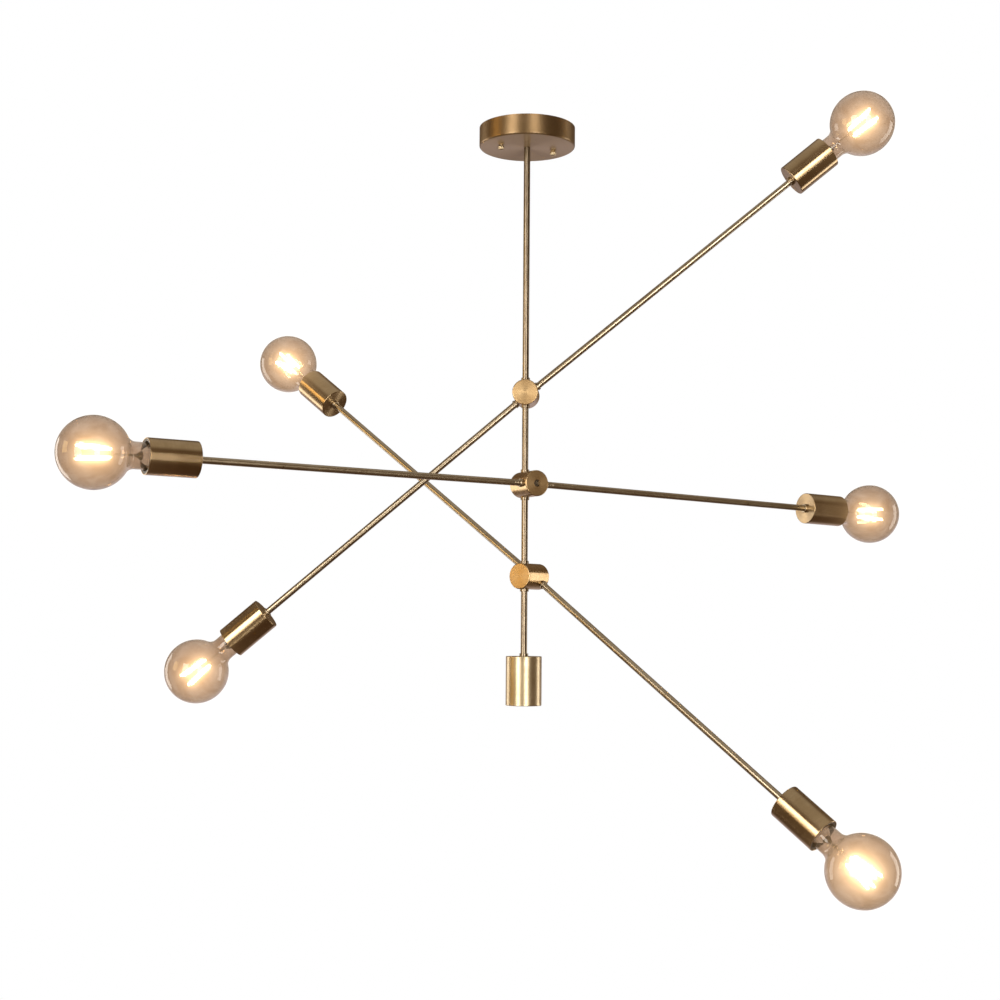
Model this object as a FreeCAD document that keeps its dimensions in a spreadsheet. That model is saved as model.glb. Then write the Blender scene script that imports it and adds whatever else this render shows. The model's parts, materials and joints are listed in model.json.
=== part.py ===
"""A ceiling chandelier: three double-ended arms pivot on drums that turn about one slim stem.

Millimetres, +Z up. The origin is on the ceiling plane, on the stem's axis. Each drum is cut in
two across its level axis: the stem half turns about the stem, and the arm half, which carries two
rods with a lamp cup at each far end, tilts on the pivot screw. The pieces of one drum are made
about the drum's own centre, with the drum's axis along -Y and the rods along X, and then placed.
"""
import FreeCAD, Part
import math
import os

import Sketcher

SIZES = [
    # canopy, strap and the screws that hold them
    ("canopy_dia", 120),
    ("canopy_height", 25),
    ("canopy_wall", 1.2),
    ("canopy_edge_round", 2.5),
    ("canopy_turn", 20),
    ("stud_reach", 35),
    ("stud_dia", 4),
    ("stud_hole_dia", 4.6),
    ("stud_top", -8),
    ("thumb_nut_dia", 8),
    ("thumb_nut_length", 6.5),
    ("thumb_nut_round", 1),
    ("thumb_nut_crown", 1.2),
    ("stud_tip_gap", 0.3),
    ("strap_reach", 54),
    ("strap_width", 18),
    ("strap_metal", 2),
    ("strap_drop", 10),
    ("strap_bend_reach", 38.5),
    ("ceiling_screw_reach", 44.45),
    ("ceiling_screw_hole_dia", 4.5),
    ("ground_screw_reach", 18),
    ("ground_screw_dia", 4),
    ("ground_screw_head_dia", 8),
    ("ground_screw_head", 2.5),
    ("ground_screw_round", 1),
    # stem
    ("stem_dia", 8),
    ("stem_bore", 6),
    ("stem_hole_dia", 8.6),
    ("stem_top", -5.5),
    ("stem_cable_dia", 4.6),
    ("stem_cable_top", -6.5),
    ("seat_gap", 0.04),
    ("hex_nut_flats", 13),
    ("hex_nut_height", 4.5),
    ("stem_collar_dia", 10.8),
    ("drum_collar_dia", 10.4),
    ("cup_collar_dia", 11.6),
    ("collar_height", 3.5),
    ("collar_round", 0.25),
    ("sleeve_dia", 10),
    ("sleeve_reach", 18.8),
    ("sleeve_window", 5.2),
    ("tube_end_gap", 4),
    # heights of the three drums and of the finial
    ("upper_height", -335.4),
    ("middle_height", -450),
    ("lower_height", -563),
    ("finial_top", -661),
    ("finial_height", 60),
    ("finial_dia", 44),
    ("finial_wall", 1.6),
    ("finial_round", 0.8),
    ("finial_plate", 2),
    ("finial_plate_recess", 0.4),
    # drums
    ("drum_dia", 32),
    ("drum_half", 20),
    ("drum_round", 1.2),
    ("drum_seam", 0.05),
    ("drum_spot_dia", 12.6),
    ("drum_spot_height", 15),
    ("running_gap", 0.1),
    ("washer_seat_outer", 30.4),
    ("washer_seat_inner", 21.6),
    ("washer_seat_depth", 0.5),
    ("washer_outer", 30),
    ("washer_inner", 22),
    ("washer_gap", 0.05),
    ("wire_groove_outer", 20),
    ("wire_groove_inner", 12),
    ("stem_groove_depth", 3),
    ("arm_groove_depth", 14),
    ("wire_hole_dia", 4),
    ("wire_hole_reach", 8),
    ("rod_hole_core_dia", 14),
    ("pivot_dia", 6),
    ("pivot_tip", 5.4),
    ("pivot_head_seat", 24),
    ("pivot_head_dia", 7.8),
    ("pivot_head_height", 3),
    ("pivot_pocket_dia", 8.6),
    ("pivot_key_flats", 4),
    ("pivot_key_depth", 2),
    ("wave_washer_height", 1),
    # arms, measured along the rod from the drum's axis
    ("rod_dia", 8),
    ("rod_bore", 6),
    ("rod_start", 10.3),
    ("rod_end", 434),
    ("rod_sag", 0.48),
    ("lead_dia", 4.2),
    ("lead_start", 12),
    ("lead_end", 446),
    ("cup_start", 426.5),
    ("cup_dia", 41),
    ("cup_length", 58),
    ("cup_wall", 1.2),
    ("cup_base", 1.5),
    ("cup_round", 0.8),
    ("socket_dia", 38.2),
    ("socket_start", 431.6),
    ("socket_recess", 0.5),
    ("socket_floor", 450),
    ("socket_bore", 28.4),
    ("socket_mouth_dia", 33),
    ("socket_mouth_depth", 6),
    ("socket_chamber_dia", 14),
    ("socket_seat_depth", 2.8),
    ("shell_dia", 28.2),
    ("shell_metal", 0.4),
    ("shell_start", 453),
    ("shell_length", 24),
    ("cap_start", 458.7),
    ("cap_dia", 26.4),
    ("cap_length", 22.5),
    ("cap_nose", 5),
    ("cap_nose_dia", 9.5),
    ("cap_shoulder_dia", 22.4),
    ("glass_start", 481.2),
    ("glass_wall", 0.8),
    ("neck_dia", 30),
    ("neck_blend", 12),
    ("globe_dia", 80),
    ("globe_centre", 540.5),
    ("mount_flare_dia", 22),
    ("mount_flare_length", 14),
    ("mount_pinch_dia", 5),
    ("mount_length", 33),
    ("filament_dia", 2.4),
    ("filament_length", 38),
    ("filament_near_reach", 6.5),
    ("filament_far_reach", 10.5),
    # how each pair of arms stands: the drum's turn about the stem and the rods' tilt about the drum
    ("upper_turn", 176),
    ("upper_tilt", -39.7),
    ("middle_turn", 29.2),
    ("middle_tilt", -1.2),
    ("lower_turn", 141.6),
    ("lower_tilt", 35.3),
]
TIERS = ("upper", "middle", "lower")

doc = FreeCAD.newDocument("Chandelier")
sheet = doc.addObject("Spreadsheet::Sheet", "Sizes")
for row, (alias, number) in enumerate(SIZES, 1):
    sheet.set(f"A{row}", alias)
    sheet.set(f"B{row}", str(number))
    sheet.setAlias(f"B{row}", alias)
doc.recompute()


def sized(expression):
    """An expression in the sheet's aliases, each written as Sizes.alias."""
    words = expression.replace("(", "( ").replace(")", " )").split()
    names = {alias for alias, _ in SIZES}
    return " ".join("Sizes." + word if word in names else word for word in words)


def size(alias):
    return float(sheet.get(alias))


# The directions that pieces are built along, as the origin plane whose normal it is.
UP, OUT, ARM = "XY_Plane", "XZ_Plane", "YZ_Plane"  # +Z, the drum's axis -Y, the rod's axis +X


def new_body(name):
    return doc.addObject("PartDesign::Body", name)


def sketch_on(body, plane, start):
    """An empty sketch on one of the body's origin planes, moved along its normal."""
    sketch = body.newObject("Sketcher::SketchObject", body.Name + "_sketch")
    support = next(f for f in body.Origin.OriginFeatures if f.Role == plane)
    sketch.AttachmentSupport = (support, [""])
    sketch.MapMode = "FlatFace"
    sketch.setExpression(".AttachmentOffset.Base.z", sized(start))
    return sketch


def bind(sketch, constraint, expression):
    index = sketch.addConstraint(constraint)
    sketch.setExpression(f"Constraints[{index}]", sized(expression))


def place_centre(sketch, geometry, across, along):
    """Holds a circle's centre at two expressions, or on the origin."""
    if across == "0" and along == "0":
        sketch.addConstraint(Sketcher.Constraint("Coincident", geometry, 3, -1, 1))
        return
    bind(sketch, Sketcher.Constraint("DistanceX", -1, 1, geometry, 3, 1.0), across)
    if along == "0":
        sketch.addConstraint(Sketcher.Constraint("PointOnObject", geometry, 3, -1))
    else:
        bind(sketch, Sketcher.Constraint("DistanceY", -1, 1, geometry, 3, 1.0), along)


def extrude(body, kind, sketch, length):
    """A Pad or a Pocket that runs from the sketch along its plane's normal."""
    feature = body.newObject("PartDesign::" + kind, body.Name + "_" + kind.lower())
    feature.Profile = sketch
    feature.setExpression("Length", sized(length))
    feature.Reversed = kind == "Pocket"
    doc.recompute()
    return feature


def round_feature(body, kind, plane, start, length, diameters, centre=("0", "0")):
    """A Pad or Pocket of one circle, or of the ring between two."""
    sketch = sketch_on(body, plane, start)
    for diameter in diameters:
        circle = Part.Circle(FreeCAD.Vector(1, 1, 0), FreeCAD.Vector(0, 0, 1), 1.0)
        index = sketch.addGeometry(circle, False)
        place_centre(sketch, index, *centre)
        bind(sketch, Sketcher.Constraint("Diameter", index, 1.0), diameter)
    return extrude(body, kind, sketch, length)


def pad(body, plane, start, length, *diameters, centre=("0", "0")):
    return round_feature(body, "Pad", plane, start, length, diameters, centre)


def pocket(body, plane, start, length, *diameters, centre=("0", "0")):
    before = body.Shape.Volume
    feature = round_feature(body, "Pocket", plane, start, length, diameters, centre)
    if body.Shape.Volume > before - 0.01:
        raise RuntimeError(f"a pocket of {body.Name} cuts nothing")
    return feature


def hexagon(body, kind, plane, start, length, flats):
    """A Pad or Pocket of a regular hexagon, sized across its flats."""
    sketch = sketch_on(body, plane, start)
    corners = [
        FreeCAD.Vector(math.cos(math.radians(60 * k)), math.sin(math.radians(60 * k)), 0)
        for k in range(6)
    ]
    for k in range(6):
        sketch.addGeometry(Part.LineSegment(corners[k], corners[(k + 1) % 6]), False)
    for k in range(6):
        sketch.addConstraint(Sketcher.Constraint("Coincident", k, 2, (k + 1) % 6, 1))
    guide = sketch.addGeometry(
        Part.Circle(FreeCAD.Vector(0, 0, 0), FreeCAD.Vector(0, 0, 1), 1.0), True
    )
    sketch.addConstraint(Sketcher.Constraint("Coincident", guide, 3, -1, 1))
    for k in range(6):
        sketch.addConstraint(Sketcher.Constraint("PointOnObject", k, 1, guide))
    for k in range(5):
        sketch.addConstraint(Sketcher.Constraint("Equal", k, k + 1))
    sketch.addConstraint(Sketcher.Constraint("PointOnObject", 0, 1, -1))
    bind(sketch, Sketcher.Constraint("Diameter", guide, 2.0), f"{flats} / cos( 30 deg )")
    return extrude(body, kind, sketch, length)


def round_edges(body, radius, wanted):
    """Fillets the edges of the body's tip that the test picks out."""
    tip = body.Tip
    names = [f"Edge{i}" for i, edge in enumerate(tip.Shape.Edges, 1) if wanted(edge)]
    if not names:
        raise RuntimeError(f"no edge of {body.Name} to round")
    feature = body.newObject("PartDesign::Fillet", body.Name + "_round")
    feature.Base = (tip, names)
    feature.setExpression("Radius", sized(radius))
    doc.recompute()
    return feature


def rim(radius, axis, at):
    """Picks the round edges of one radius that lie at one place along an axis."""

    def wanted(edge):
        curve = edge.Curve
        if not isinstance(curve, Part.Circle):
            return False
        return abs(curve.Radius - radius) < 1e-4 and abs(getattr(curve.Center, axis) - at) < 1e-4

    return wanted


def polygon_sketch(body, plane, corners):
    """A closed outline whose corners are pairs of expressions."""
    sketch = sketch_on(body, plane, "0")
    count = len(corners)
    for k in range(count):
        turn = 2 * math.pi * k / count
        after = 2 * math.pi * (k + 1) / count
        here = FreeCAD.Vector(math.cos(turn), math.sin(turn), 0)
        there = FreeCAD.Vector(math.cos(after), math.sin(after), 0)
        sketch.addGeometry(Part.LineSegment(here, there), False)
    for k in range(count):
        sketch.addConstraint(Sketcher.Constraint("Coincident", k, 2, (k + 1) % count, 1))
    for k, (across, along) in enumerate(corners):
        bind(sketch, Sketcher.Constraint("DistanceX", -1, 1, k, 1, 1.0), across)
        bind(sketch, Sketcher.Constraint("DistanceY", -1, 1, k, 1, 1.0), along)
    return sketch


def cylinder(name, diameter, start, length):
    """A plain cylinder along the rod's axis +X."""
    piece = doc.addObject("Part::Cylinder", name)
    piece.setExpression("Radius", sized(f"( {diameter} ) / 2"))
    piece.setExpression("Height", sized(length))
    piece.Placement = FreeCAD.Placement(
        FreeCAD.Vector(0, 0, 0), FreeCAD.Rotation(FreeCAD.Vector(0, 1, 0), 90)
    )
    piece.setExpression("Placement.Base.x", sized(start))
    return piece


def cone(name, near_diameter, far_diameter, start, length):
    """A cone along the rod's axis +X."""
    piece = doc.addObject("Part::Cone", name)
    piece.setExpression("Radius1", sized(f"( {near_diameter} ) / 2"))
    piece.setExpression("Radius2", sized(f"( {far_diameter} ) / 2"))
    piece.setExpression("Height", sized(length))
    piece.Placement = FreeCAD.Placement(
        FreeCAD.Vector(0, 0, 0), FreeCAD.Rotation(FreeCAD.Vector(0, 1, 0), 90)
    )
    piece.setExpression("Placement.Base.x", sized(start))
    return piece


def cut(name, base, tool):
    result = doc.addObject("Part::Cut", name)
    result.Base = base
    result.Tool = tool
    return result


def fuse(name, *shapes):
    result = doc.addObject("Part::MultiFuse", name)
    result.Shapes = list(shapes)
    return result


nodes = []


def node(label, pieces):
    """One sub-part: the pieces' copies at their places, as (piece, placement expression)."""
    copies = []
    for number, (piece, placement) in enumerate(pieces, 1):
        copy = doc.addObject("App::Link", f"{label}_copy{number}")
        copy.LinkedObject = piece
        copy.setExpression("Placement", placement)
        copies.append(copy)
    group = doc.addObject("Part::Compound", label)
    group.Links = copies
    group.Label = label
    nodes.append(group)
    return group


def placed(x="0", y="0", z="0", axis=(0, 0, 1), angle="0"):
    """A placement expression: a turn about an axis through the origin, then a move."""
    turn = f"create( <<rotation>> ; create( <<vector>> ; {axis[0]} ; {axis[1]} ; {axis[2]} ) ;"
    move = f"create( <<vector>> ; {x} ; {y} ; {z} )"
    return sized(f"create( <<placement>> ; {move} ; {turn} {angle} ) )")


# ---------------------------------------------------------------- ceiling fittings and canopy
def make_canopy_shell():
    """A spun cup, open to the ceiling, with holes for the stem and the two studs."""
    body = new_body("canopy_form")
    pad(body, UP, "0 - canopy_height", "canopy_height", "canopy_dia")
    low = -size("canopy_height")
    round_edges(body, "canopy_edge_round", rim(size("canopy_dia") / 2, "z", low))
    inside = "canopy_height - canopy_wall"
    pocket(body, UP, f"0 - ( {inside} )", inside, "canopy_dia - 2 * canopy_wall")
    pocket(body, UP, "0 - canopy_height", "canopy_wall", "stem_hole_dia")
    for side in ("stud_reach", "0 - stud_reach"):
        pocket(body, UP, "0 - canopy_height", "canopy_wall", "stud_hole_dia", centre=(side, "0"))
    return body


def make_strap():
    """A hat-shaped steel strap: its ends lie on the ceiling and its middle hangs clear of it."""
    body = new_body("strap_form")
    out, bend = "strap_reach", "strap_bend_reach"
    wall = "strap_bend_reach + strap_metal"
    low = "0 - strap_drop"
    half = [
        (out, "0"),
        (bend, "0"),
        (bend, low),
    ]
    under = [
        (wall, "0 - ( strap_drop + strap_metal )"),
        (wall, "0 - strap_metal"),
        (out, "0 - strap_metal"),
    ]
    mirrored = [(f"0 - ( {across} )", along) for across, along in reversed(half)]
    mirrored_under = [(f"0 - ( {across} )", along) for across, along in reversed(under)]
    corners = half + mirrored + mirrored_under + under
    sketch = polygon_sketch(body, OUT, corners)
    sketch.setExpression(".AttachmentOffset.Base.z", sized("0 - strap_width / 2"))
    extrude(body, "Pad", sketch, "strap_width")
    floor = "0 - ( strap_drop + strap_metal )"
    pocket(body, UP, floor, "strap_metal", "stem_hole_dia")
    for sign in ("", "0 - "):
        stud = (sign + "stud_reach", "0")
        screw = (sign + "ceiling_screw_reach", "0")
        pocket(body, UP, floor, "strap_metal", "stud_dia + seat_gap", centre=stud)
        pocket(body, UP, "0 - strap_metal", "strap_metal", "ceiling_screw_hole_dia", centre=screw)
    ground = ("ground_screw_reach", "0")
    pocket(body, UP, floor, "strap_metal", "ground_screw_dia + seat_gap", centre=ground)
    return body


def make_stud():
    """A threaded rod from the strap, through the canopy, to just short of the nut's crown."""
    body = new_body("stud_form")
    low = "stud_tip_gap + thumb_nut_crown - thumb_nut_length - canopy_height"
    pad(body, UP, low, f"stud_top - ( {low} )", "stud_dia")
    return body


def make_thumb_nut():
    """A small turned nut with a blind thread, run up against the canopy's face."""
    body = new_body("thumb_nut_form")
    top = "0 - canopy_height - washer_gap"
    pad(body, UP, f"{top} - thumb_nut_length", "thumb_nut_length", "thumb_nut_dia")
    low = -size("canopy_height") - size("washer_gap") - size("thumb_nut_length")
    round_edges(body, "thumb_nut_round", rim(size("thumb_nut_dia") / 2, "z", low))
    depth = "thumb_nut_length - thumb_nut_crown"
    pocket(body, UP, f"{top} - ( {depth} )", depth, "stud_dia + seat_gap")
    return body


def make_ground_screw():
    body = new_body("ground_screw_form")
    floor = "0 - ( strap_drop + strap_metal )"
    pad(body, UP, f"{floor} - ground_screw_head", "ground_screw_head", "ground_screw_head_dia")
    low = -size("strap_drop") - size("strap_metal") - size("ground_screw_head")
    round_edges(body, "ground_screw_round", rim(size("ground_screw_head_dia") / 2, "z", low))
    pad(body, UP, floor, "2 * strap_metal", "ground_screw_dia")
    return body


def make_hex_nut():
    """A hexagon nut that stands on the XY plane, about the stem."""
    body = new_body("hex_nut_form")
    hexagon(body, "Pad", UP, "0", "hex_nut_height", "hex_nut_flats")
    pocket(body, UP, "0", "hex_nut_height", "stem_dia + seat_gap")
    return body


# ------------------------------------------------------------------------------------- stem
def make_tube(name, top, bottom):
    body = new_body(name)
    pad(body, UP, bottom, f"{top} - ( {bottom} )", "stem_dia", "stem_bore")
    return body


def make_sleeve():
    """The journal that a drum turns on; it joins two stem tubes, and its window lets wires out."""
    body = new_body("sleeve_form")
    bore = "stem_dia + seat_gap"
    pad(body, UP, "0 - sleeve_reach", "2 * sleeve_reach", "sleeve_dia", bore)
    half = "sleeve_window / 2"
    corners = [
        (half, half),
        (f"0 - {half}", half),
        (f"0 - {half}", f"0 - {half}"),
        (half, f"0 - {half}"),
    ]
    for plane in (OUT, ARM):
        sketch = polygon_sketch(body, plane, corners)
        sketch.setExpression(".AttachmentOffset.Base.z", sized("0 - sleeve_dia"))
        extrude(body, "Pocket", sketch, "2 * sleeve_dia")
    return body


def make_collar(name, plane, diameter, bore):
    """A small turned ring; the same pattern locks the stem's drums and the rods' ends."""
    body = new_body(name)
    pad(body, plane, "0", "collar_height", diameter, bore)
    edge = size(diameter) / 2
    axis = "z" if plane == UP else "x"
    far = rim(edge, axis, size("collar_height"))
    near = rim(edge, axis, 0)
    round_edges(body, "collar_round", lambda e: far(e) or near(e))
    return body


def make_finial_shell():
    body = new_body("finial_form")
    low = "finial_top - finial_height"
    pad(body, UP, low, "finial_height", "finial_dia")
    edge = size("finial_dia") / 2
    top = rim(edge, "z", size("finial_top"))
    bottom = rim(edge, "z", size("finial_top") - size("finial_height"))
    round_edges(body, "finial_round", lambda e: top(e) or bottom(e))
    inner = "finial_dia - 2 * finial_wall"
    pocket(body, UP, low, "finial_height - finial_plate", inner)
    pocket(body, UP, "finial_top - finial_plate", "finial_plate", "stem_hole_dia")
    return body


def make_finial_plate():
    """The disc that closes the finial from below."""
    body = new_body("finial_plate_form")
    low = "finial_top - finial_height"
    across = "finial_dia - 2 * finial_wall - seat_gap"
    pad(body, UP, f"{low} + finial_plate_recess", "finial_plate", across)
    return body


def make_supply_cable():
    """The wires that come down inside the stem as far as the lowest drum."""
    body = new_body("stem_cable_form")
    low = "lower_height - tube_end_gap"
    pad(body, UP, low, f"stem_cable_top - ( {low} )", "stem_cable_dia")
    return body


def make_stem():
    """Four tubes whose ends meet, a little apart, inside the sleeves that carry the drums."""
    above = [f"{tier}_height + tube_end_gap" for tier in TIERS]
    below = [f"{tier}_height - tube_end_gap" for tier in TIERS]
    foot = "finial_top - finial_plate - 2 * hex_nut_height"
    at_rest = placed()
    node("stem_tube_top", [(make_tube("top_tube_form", "stem_top", above[0]), at_rest)])
    second = make_tube("second_tube_form", below[0], above[1])
    third = make_tube("third_tube_form", below[1], above[2])
    node("stem_tubes_middle", [(second, at_rest), (third, at_rest)])
    node("stem_tube_bottom", [(make_tube("last_tube_form", below[2], foot), at_rest)])
    sleeve = make_sleeve()
    node("stem_journal_sleeves", [(sleeve, placed(z=f"{tier}_height")) for tier in TIERS])
    over_sleeve = make_collar("sleeve_collar_form", UP, "stem_collar_dia", "sleeve_dia + seat_gap")
    over_stem = make_collar("finial_collar_form", UP, "stem_collar_dia", "stem_dia + seat_gap")
    rings = []
    for tier in TIERS:
        rings.append((over_sleeve, placed(z=f"{tier}_height + sleeve_reach - collar_height")))
        rings.append((over_sleeve, placed(z=f"{tier}_height - sleeve_reach")))
    rings.append((over_stem, placed(z="finial_top")))
    node("stem_collars", rings)
    node("stem_supply_cable", [(make_supply_cable(), at_rest)])


def strap_place(reach):
    """A place on the strap's middle line, which stands at the canopy's turn."""
    cos, sin = "cos( canopy_turn * 1 deg )", "sin( canopy_turn * 1 deg )"
    return placed(x=f"( {reach} ) * {cos}", y=f"( {reach} ) * {sin}")


def make_ceiling_end():
    """The canopy, all that it hides, and the finial that closes the stem's foot."""
    turned = placed(angle="canopy_turn")
    node("canopy_shell", [(make_canopy_shell(), turned)])
    node("crossbar_strap", [(make_strap(), turned)])
    node("crossbar_ground_screw", [(make_ground_screw(), strap_place("ground_screw_reach"))])
    stud, thumb_nut = make_stud(), make_thumb_nut()
    sides = [strap_place("stud_reach"), strap_place("0 - stud_reach")]
    node("canopy_studs", [(stud, place) for place in sides])
    node("canopy_thumb_nuts", [(thumb_nut, place) for place in sides])
    hex_nut = make_hex_nut()
    above = placed(z="0 - strap_drop", angle="canopy_turn")
    below = placed(z="0 - strap_drop - strap_metal - hex_nut_height", angle="canopy_turn")
    node("stem_lock_nuts", [(hex_nut, above), (hex_nut, below)])
    node("finial_shell", [(make_finial_shell(), placed())])
    node("finial_base_plate", [(make_finial_plate(), placed())])
    inside = placed(z="finial_top - finial_plate - hex_nut_height")
    node("finial_lock_nut", [(hex_nut, inside)])


# ------------------------------------------------------------------------------------ drums
def make_stem_drum():
    """The half that turns about the stem; its far face carries the friction washer."""
    body = new_body("stem_drum_form")
    back = "0 - drum_half / 2"
    face = "drum_half / 2 - drum_seam"
    pad(body, OUT, back, "drum_half - drum_seam", "drum_dia")
    rear = rim(size("drum_dia") / 2, "y", size("drum_half") / 2)
    round_edges(body, "drum_round", rear)
    pocket(body, UP, "0 - drum_dia", "2 * drum_dia", "sleeve_dia + running_gap")
    pocket(body, UP, "drum_spot_height", "drum_dia", "drum_spot_dia")
    pocket(body, UP, "0 - drum_spot_height - drum_dia", "drum_dia", "drum_spot_dia")
    seat = f"{face} - washer_seat_depth"
    pocket(body, OUT, seat, "drum_half", "washer_seat_outer", "washer_seat_inner")
    groove = f"{face} - stem_groove_depth"
    pocket(body, OUT, groove, "drum_half", "wire_groove_outer", "wire_groove_inner")
    pocket(body, OUT, "0", "drum_half", "pivot_dia + seat_gap")
    for side in ("wire_hole_reach", "0 - wire_hole_reach"):
        pocket(body, OUT, "0", "drum_half", "wire_hole_dia", centre=("0", side))
    return body


def make_arm_drum():
    """The half that tilts on the pivot screw and holds the two rods."""
    body = new_body("arm_drum_form")
    face = "drum_half / 2 + drum_seam"
    pad(body, OUT, face, "drum_half - drum_seam", "drum_dia")
    front = -size("drum_half") / 2 - size("drum_half")
    round_edges(body, "drum_round", rim(size("drum_dia") / 2, "y", front))
    pocket(body, OUT, face, "arm_groove_depth", "wire_groove_outer", "wire_groove_inner")
    pocket(body, OUT, face, "drum_half", "pivot_dia + running_gap")
    pocket(body, OUT, "pivot_head_seat", "drum_half", "pivot_pocket_dia")
    return body


def make_rod_holes():
    """The two cross holes that the rods screw into, stopped short of the pivot screw."""
    holes = []
    for side in (0, 1):
        hole = doc.addObject("Part::Cylinder", "rod_hole")
        hole.setExpression("Radius", sized("( rod_dia + seat_gap ) / 2"))
        hole.setExpression("Height", sized("drum_dia"))
        lean = "90 + rod_sag" if side == 0 else "270 - rod_sag"
        hole.setExpression("Placement", placed(y="0 - drum_half", axis=(0, 1, 0), angle=lean))
        holes.append(hole)
    through = fuse("rod_holes", *holes)
    core = doc.addObject("Part::Cylinder", "rod_hole_core")
    core.setExpression("Radius", sized("rod_hole_core_dia / 2"))
    core.setExpression("Height", sized("2 * drum_half"))
    core.setExpression("Placement", placed(axis=(1, 0, 0), angle="90"))
    return cut("rod_hole_ends", through, core)


def make_friction_washer():
    body = new_body("friction_washer_form")
    seat = "drum_half / 2 - drum_seam - washer_seat_depth"
    pad(body, OUT, seat, "washer_seat_depth + washer_gap / 2", "washer_outer", "washer_inner")
    return body


def make_pivot_screw():
    """A socket-head screw along the drum's axis, fast in the stem half."""
    body = new_body("pivot_screw_form")
    under_head = "pivot_head_seat + washer_gap + wave_washer_height"
    pad(body, OUT, "pivot_tip", f"{under_head} - pivot_tip", "pivot_dia")
    pad(body, OUT, under_head, "pivot_head_height", "pivot_head_dia")
    top = f"{under_head} + pivot_head_height"
    hexagon(body, "Pocket", OUT, f"{top} - pivot_key_depth", "pivot_key_depth", "pivot_key_flats")
    return body


def make_wave_washer():
    body = new_body("wave_washer_form")
    start = "pivot_head_seat + washer_gap"
    pad(body, OUT, start, "wave_washer_height", "pivot_head_dia", "pivot_dia + seat_gap")
    return body


# ------------------------------------------------------------------------------- lamp holders
def make_lamp_cup():
    """A drawn brass cup, flat at the rod's end and open at the lamp's."""
    body = new_body("lamp_cup_form")
    pad(body, ARM, "cup_start", "cup_length", "cup_dia")
    edge = size("cup_dia") / 2
    round_edges(body, "cup_round", rim(edge, "x", size("cup_start")))
    inner = "cup_dia - 2 * cup_wall"
    pocket(body, ARM, "cup_start + cup_base", "cup_length", inner)
    pocket(body, ARM, "cup_start", "cup_base", "rod_dia + 2 * running_gap")
    return body


def make_socket_body():
    """A moulded lamp socket: a wire chamber behind, a screw-shell bore and a wider mouth."""
    body = new_body("socket_form")
    front = "cup_start + cup_length - socket_recess"
    pad(body, ARM, "socket_start", f"{front} - socket_start", "socket_dia")
    pocket(body, ARM, "socket_start", "socket_seat_depth", "rod_dia + 2 * running_gap")
    chamber = "socket_start + socket_seat_depth"
    pocket(body, ARM, chamber, f"socket_floor - ( {chamber} )", "socket_chamber_dia")
    pocket(body, ARM, "socket_floor", "cup_length", "socket_bore")
    pocket(body, ARM, f"{front} - socket_mouth_depth", "cup_length", "socket_mouth_dia")
    return body


def make_socket_shell():
    body = new_body("socket_shell_form")
    pad(body, ARM, "shell_start", "shell_length", "shell_dia", "shell_dia - 2 * shell_metal")
    return body


def make_bulb_cap():
    """The lamp's screw cap, with a tapered insulator that ends in the centre contact."""
    nose = cone("cap_nose_form", "cap_nose_dia", "cap_shoulder_dia", "cap_start", "cap_nose")
    barrel_start = "cap_start + cap_nose"
    barrel = cylinder("cap_barrel_form", "cap_dia", barrel_start, "cap_length - cap_nose")
    return fuse("bulb_cap_form", nose, barrel)


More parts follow.
